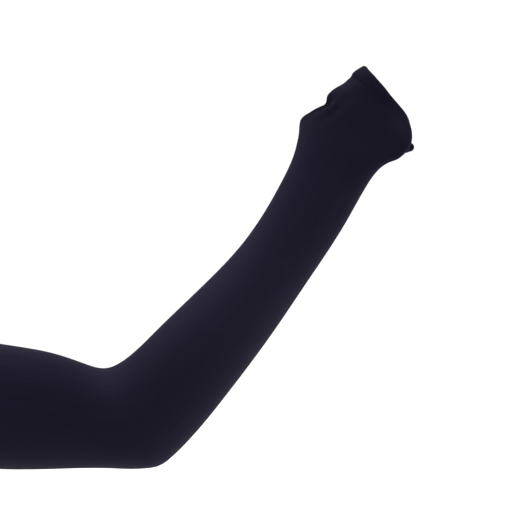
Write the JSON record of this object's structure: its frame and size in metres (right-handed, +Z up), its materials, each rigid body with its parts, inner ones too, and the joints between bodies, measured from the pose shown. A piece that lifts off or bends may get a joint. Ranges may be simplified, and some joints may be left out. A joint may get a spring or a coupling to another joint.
{
  "type": "sun protection arm sleeve",
  "caption": "Stretch-knit sun sleeve in its worn, bent form: hollow tube from upper arm to knuckles, with a wide upper hem, a hemmed thumb hole and a slanted finger opening.",
  "frame": {"origin": "centre of the upper arm opening, where the arm goes in", "axes": "+X along the upper arm towards the elbow, +Z up to the hand, -Y the back of the hand and the picture's side"},
  "size_m": [0.378, 0.1187, 0.3124],
  "materials": {
    "knit": "matte fine-gauge stretch knit with a faint sheen",
    "hem": "doubled stretch knit, folded and sewn",
    "edge": "turned and overlocked knit edge"
  },
  "bodies": {
    "root": {"sleeve": "knit", "upper_hem": "hem", "finger_hem": "hem", "thumb_hem": "edge"}
  },
  "joints": []
}
